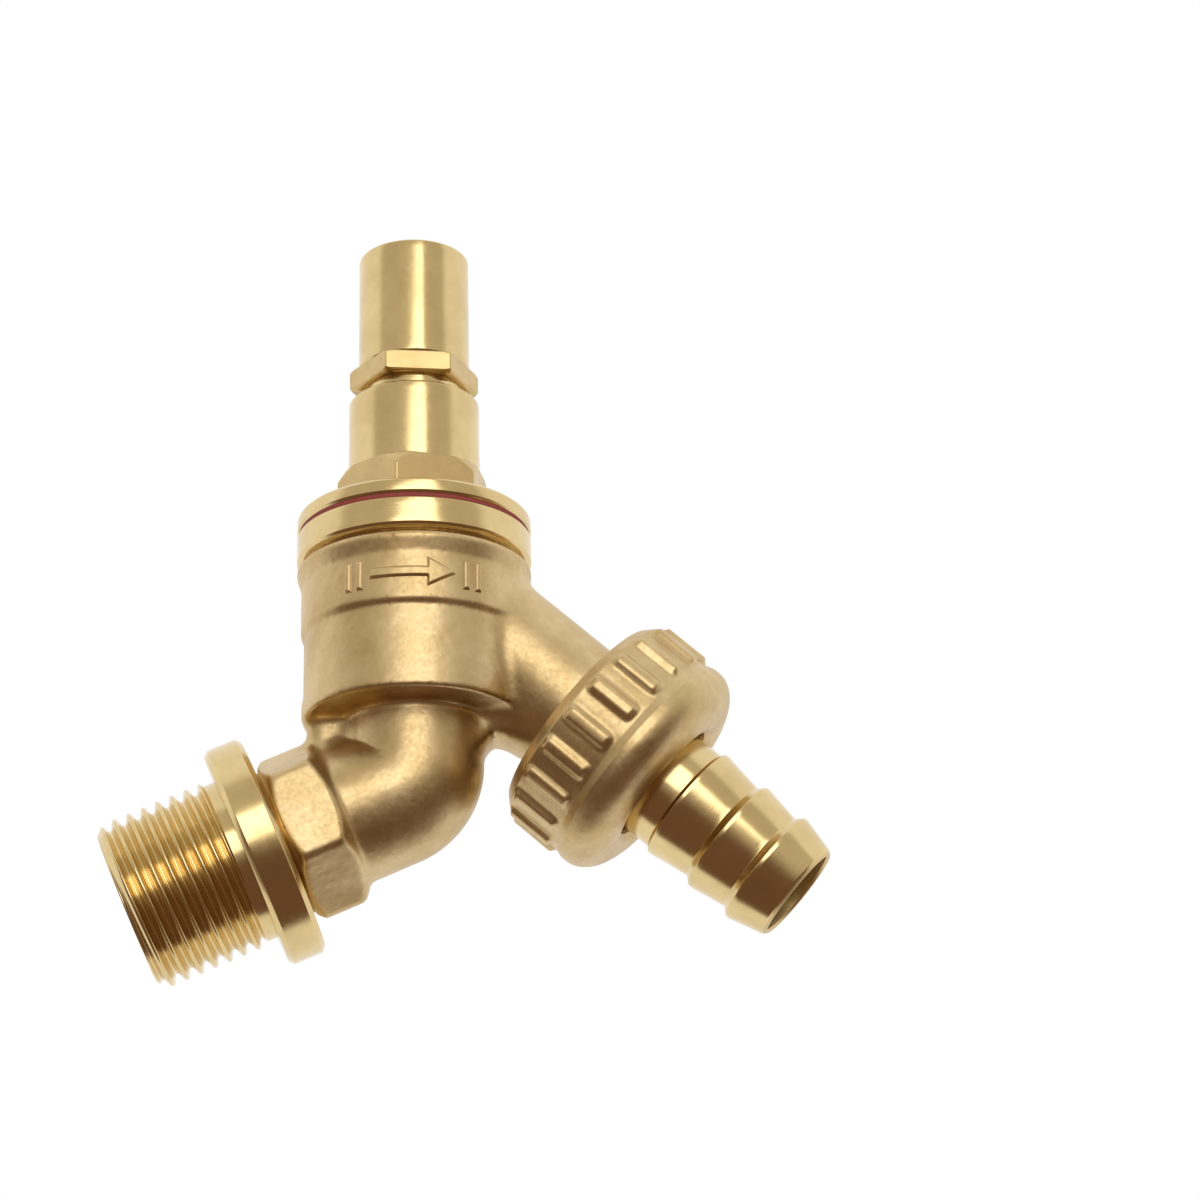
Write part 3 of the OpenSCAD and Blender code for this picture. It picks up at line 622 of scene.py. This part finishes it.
def cutBrass(name, axis, finish="turned"):
    # brass turned on a lathe: bright, with fine rings from the tool and a little tarnish in clouds;
    # milled flats are duller and a little darker
    f = finishes[finish]
    material, tree, shader = startMaterial(name)
    place = localCoordinates(tree, axis)
    parts = addNode(tree, "ShaderNodeSeparateXYZ", Vector=place).outputs
    flat = addNode(tree, "ShaderNodeCombineXYZ", X=parts[0], Y=parts[1])
    radius = addNode(tree, "ShaderNodeVectorMath", {"operation": "LENGTH"},
                     i0=flat.outputs[0]).outputs["Value"]
    ring = addNode(tree, "ShaderNodeCombineXYZ", X=radius, Y=parts[2])
    # tool marks 0.11 mm apart, and wider ones 0.6 mm apart
    fine = addNode(tree, "ShaderNodeTexNoise", {"noise_dimensions": "2D"}, Vector=ring.outputs[0],
                   Scale=1 / 0.22, Detail=3.0)
    cloud = addNode(tree, "ShaderNodeTexNoise", Vector=place, Scale=1 / 5.0, Detail=4.0, Roughness=0.6)
    speck = addNode(tree, "ShaderNodeTexNoise", Vector=place, Scale=1 / 0.7, Detail=2.0)
    tone = addNode(tree, "ShaderNodeMapRange", Value=cloud.outputs[0], i1=0.35, i2=0.68)
    colour = addNode(tree, "ShaderNodeMix", {"data_type": "RGBA"}, Factor=tone.outputs[0],
                     i6=linear(f["bright"]), i7=linear(f["dull"]))
    tree.links.new(colour.outputs[2], shader.inputs["Base Color"])
    rough = addNode(tree, "ShaderNodeMath", {"operation": "MULTIPLY"}, i0=cloud.outputs[0],
                    i1=speck.outputs[0])
    rough = addNode(tree, "ShaderNodeMapRange", Value=rough.outputs[0], i1=0.1, i2=0.5, i3=f["roughness"],
                    i4=f["roughness"] + f["roughnessSpread"])
    # bores are drilled: duller, and without the rings
    outside = addNode(tree, "ShaderNodeMapRange", Value=radius, i1=f["drilledRadius"],
                      i2=f["drilledRadius"] + 0.1)
    rough = addNode(tree, "ShaderNodeMix", Factor=outside.outputs[0], i2=f["drilledRoughness"],
                    i3=rough.outputs[0])
    tree.links.new(rough.outputs[0], shader.inputs["Roughness"])
    bump = addNode(tree, "ShaderNodeBump", Height=fine.outputs[0], Distance=f["lineDepth"] * mm,
                   Strength=outside.outputs[0])
    tree.links.new(bump.outputs[0], shader.inputs["Normal"])
    shader.inputs["Metallic"].default_value = 1.0
    return material


def forgedBrass(name):
    # brass forged hot and blasted with shot: soft waves a few millimetres long from the die, a fine
    # grain from the shot, and darker oxide left in clouds
    f = finishes["forged"]
    material, tree, shader = startMaterial(name)
    place = addNode(tree, "ShaderNodeVectorMath", {"operation": "SCALE"},
                    i0=addNode(tree, "ShaderNodeTexCoord").outputs["Object"], Scale=1 / mm).outputs[0]
    wave = addNode(tree, "ShaderNodeTexNoise", Vector=place, Scale=1 / 3.6, Detail=2.5, Roughness=0.5)
    grain = addNode(tree, "ShaderNodeTexNoise", Vector=place, Scale=1 / 0.45, Detail=3.0, Roughness=0.6)
    pits = addNode(tree, "ShaderNodeTexVoronoi", {"feature": "SMOOTH_F1"}, Vector=place, Scale=1 / 1.1,
                   Randomness=1.0)
    cloud = addNode(tree, "ShaderNodeTexNoise", Vector=place, Scale=1 / 6.0, Detail=5.0, Roughness=0.62)
    tone = addNode(tree, "ShaderNodeMapRange", Value=cloud.outputs[0], i1=0.36, i2=0.66)
    colour = addNode(tree, "ShaderNodeMix", {"data_type": "RGBA"}, Factor=tone.outputs[0],
                     i6=linear(f["bright"]), i7=linear(f["dull"]))
    tree.links.new(colour.outputs[2], shader.inputs["Base Color"])
    rough = addNode(tree, "ShaderNodeMapRange", Value=grain.outputs[0], i1=0.3, i2=0.7, i3=f["roughness"],
                    i4=f["roughness"] + f["roughnessSpread"])
    tree.links.new(rough.outputs[0], shader.inputs["Roughness"])
    waves = addNode(tree, "ShaderNodeBump", Height=wave.outputs[0], Distance=f["waveDepth"] * mm,
                    Strength=1.0)
    pitted = addNode(tree, "ShaderNodeBump", Height=pits.outputs["Distance"],
                     Distance=f["pitDepth"] * mm, Strength=1.0, Normal=waves.outputs[0])
    bump = addNode(tree, "ShaderNodeBump", Height=grain.outputs[0], Distance=f["grainDepth"] * mm,
                   Strength=1.0, Normal=pitted.outputs[0])
    tree.links.new(bump.outputs[0], shader.inputs["Normal"])
    shader.inputs["Metallic"].default_value = 1.0
    return material


def plainStuff(name, light, dark, roughness, grainSize, depth):
    # fibre board, rubber and packing: a dull moulded surface with a grain of the given size
    material, tree, shader = startMaterial(name)
    place = addNode(tree, "ShaderNodeVectorMath", {"operation": "SCALE"},
                    i0=addNode(tree, "ShaderNodeTexCoord").outputs["Object"], Scale=1 / mm).outputs[0]
    grain = addNode(tree, "ShaderNodeTexNoise", Vector=place, Scale=1 / grainSize, Detail=4.0)
    colour = addNode(tree, "ShaderNodeMix", {"data_type": "RGBA"}, Factor=grain.outputs[0],
                     i6=linear(light), i7=linear(dark))
    tree.links.new(colour.outputs[2], shader.inputs["Base Color"])
    bump = addNode(tree, "ShaderNodeBump", Height=grain.outputs[0], Distance=depth * mm, Strength=1.0)
    tree.links.new(bump.outputs[0], shader.inputs["Normal"])
    shader.inputs["Roughness"].default_value = roughness
    return material


forged = forgedBrass("forgedBrass")
turnedInlet = cutBrass("turnedBrassInlet", inletAxis)
turnedValve = cutBrass("turnedBrassValve", valveAxis)
turnedSpout = cutBrass("turnedBrassSpout", spoutAxis)
milledValve = cutBrass("milledBrassValve", valveAxis, "milled")
redFibre = plainStuff("redFibre", "#8F3426", "#6B2118", 0.7, 0.4, 0.01)
blackRubber = plainStuff("blackRubber", "#2A2A2A", "#1B1B1B", 0.6, 0.6, 0.01)
whitePacking = plainStuff("ptfePacking", "#ECE9E0", "#DAD6CA", 0.55, 0.8, 0.01)

# Each finished piece: the body it rides on, the node it replaces, its slot and its material
for piece, owner, node, slotName, material in (
        (body, "tap_body", "body", "forged_brass", forged),
        (inlet, "tap_body", "body", "forged_brass", turnedInlet),
        (rim, "tap_body", "body", "forged_brass", turnedValve),
        (spoutEnd, "tap_body", "body", "forged_brass", turnedSpout),
        (arrow, "tap_body", "body", "forged_brass", forged),
        (bonnet, "tap_body", "bonnet", "turned_brass", turnedValve),
        (bonnetHexagon, "tap_body", "bonnet", "turned_brass", milledValve),
        (shield, "tap_body", "lockshield", "turned_brass", turnedValve),
        (collar, "tap_body", "lockshield", "turned_brass", milledValve),
        (spindle, "spindle", "spindle", "spindle_brass", turnedValve),
        (nut, "union_nut", "union_nut", "forged_brass", forged),
        (tail, "tail", "hose_tail", "turned_brass", turnedSpout)):
    piece.data.materials.append(material)
    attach(piece, owner)
    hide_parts(node)

for node, material in (("body_washer", redFibre), ("gland_packing", whitePacking),
                       ("gland_washer", turnedValve), ("jumper", turnedValve), ("washer_nut", turnedValve),
                       ("tap_washer", blackRubber), ("union_washer", blackRubber)):
    nodes[node].data.materials.clear()
    nodes[node].data.materials.append(material)
print("finishes done")

# Studio, in metres: floor, room tones that the brass mirrors, and one window. The three
# directions are the calibrated camera's own.
studio = {"floor": -0.2, "floorColour": "#F1F0EC", "behind": "#FFFFFF", "above": "#CEC8BC",
          "below": "#735948", "window": 2.1, "windowSize": (0.66, 0.48), "windowDistance": 0.9,
          "middle": (0.03, 0, 0.025)}
front = Vector((-0.15775936, -0.93036758, -0.33095038))
above = Vector((0.37857625, -0.3665227, 0.84990654))
right = Vector((0.91202632, -0.00879076, -0.41003746))


def makeFloor():
    # a wide flat disc, white to diffuse light and hidden from mirror-like rays, which see the studio
    count = 96
    angle = np.linspace(0, 2 * np.pi, count, endpoint=False)
    mesh = bpy.data.meshes.new("floor")
    ring = np.stack([np.cos(angle) * 3, np.sin(angle) * 3, np.full(count, studio["floor"])], -1)
    mesh.from_pydata(ring.tolist(), [], [list(range(count))])
    floor = bpy.data.objects.new("floor", mesh)
    bpy.context.scene.collection.objects.link(floor)
    material, tree, shader = startMaterial("matPaper")
    shader.inputs["Base Color"].default_value = linear(studio["floorColour"])
    shader.inputs["Roughness"].default_value = 0.9
    floor.data.materials.append(material)
    floor.visible_glossy = False


def makeWorld():
    # white behind the part, pale above in front, dark and warm below in front, as over a table
    world = bpy.data.worlds.new("studioWorld")
    bpy.context.scene.world = world
    world.use_nodes = True
    tree = world.node_tree
    tree.nodes.clear()
    direction = addNode(tree, "ShaderNodeTexCoord").outputs["Generated"]
    dot, soft = {"operation": "DOT_PRODUCT"}, {"interpolation_type": "SMOOTHSTEP"}
    blend = {"data_type": "RGBA"}
    towardFront = addNode(tree, "ShaderNodeVectorMath", dot, i0=direction, i1=front).outputs["Value"]
    towardTop = addNode(tree, "ShaderNodeVectorMath", dot, i0=direction, i1=above).outputs["Value"]
    upper = addNode(tree, "ShaderNodeMapRange", soft, Value=towardTop, i1=0.0, i2=0.5).outputs[0]
    nearer = addNode(tree, "ShaderNodeMapRange", soft, Value=towardFront, i1=0.02, i2=0.2).outputs[0]
    ahead = addNode(tree, "ShaderNodeMix", blend, Factor=upper, i6=linear(studio["below"]),
                    i7=linear(studio["above"])).outputs[2]
    around = addNode(tree, "ShaderNodeMix", blend, Factor=nearer, i6=linear(studio["behind"]),
                     i7=ahead).outputs[2]
    ray = addNode(tree, "ShaderNodeLightPath")
    plain = addNode(tree, "ShaderNodeMath", {"operation": "MAXIMUM"}, i0=ray.outputs["Is Camera Ray"],
                    i1=ray.outputs["Is Diffuse Ray"])
    tone = addNode(tree, "ShaderNodeMix", blend, Factor=plain.outputs[0], i6=around, i7=(1, 1, 1, 1))
    background = addNode(tree, "ShaderNodeBackground", Color=tone.outputs[2])
    output = addNode(tree, "ShaderNodeOutputWorld")
    tree.links.new(background.outputs[0], output.inputs[0])


def makeWindow():
    # one soft window above and in front
    light = bpy.data.lights.new("window", "AREA")
    light.shape = "RECTANGLE"
    light.size, light.size_y = studio["windowSize"]
    light.energy = studio["window"] * math.pi * light.size * light.size_y
    lamp = bpy.data.objects.new("window", light)
    bpy.context.scene.collection.objects.link(lamp)
    toward = (right * 0.09 + above * 0.57 + front * 0.81).normalized()
    place = Vector(studio["middle"]) + toward * studio["windowDistance"]
    lamp.matrix_world = Matrix.Translation(place) @ toward.to_track_quat("Z", "Y").to_matrix().to_4x4()


def makeCamera():
    # lens, place and turn that match the photo's outline
    camera = bpy.data.cameras.new("camera")
    camera.lens, camera.sensor_width, camera.sensor_fit = 88.05, 36, "HORIZONTAL"
    camera.clip_start, camera.clip_end = 0.01, 20
    holder = bpy.data.objects.new("camera", camera)
    bpy.context.scene.collection.objects.link(holder)
    turn = Matrix((right, above, front)).transposed().to_4x4()
    holder.matrix_world = Matrix.Translation(Vector((-5.025, -337.341, -106.833)) * mm) @ turn
    bpy.context.scene.camera = holder


makeFloor()
makeWorld()
makeWindow()
makeCamera()
bpy.context.scene.view_settings.view_transform = "Standard"
print("studio done")
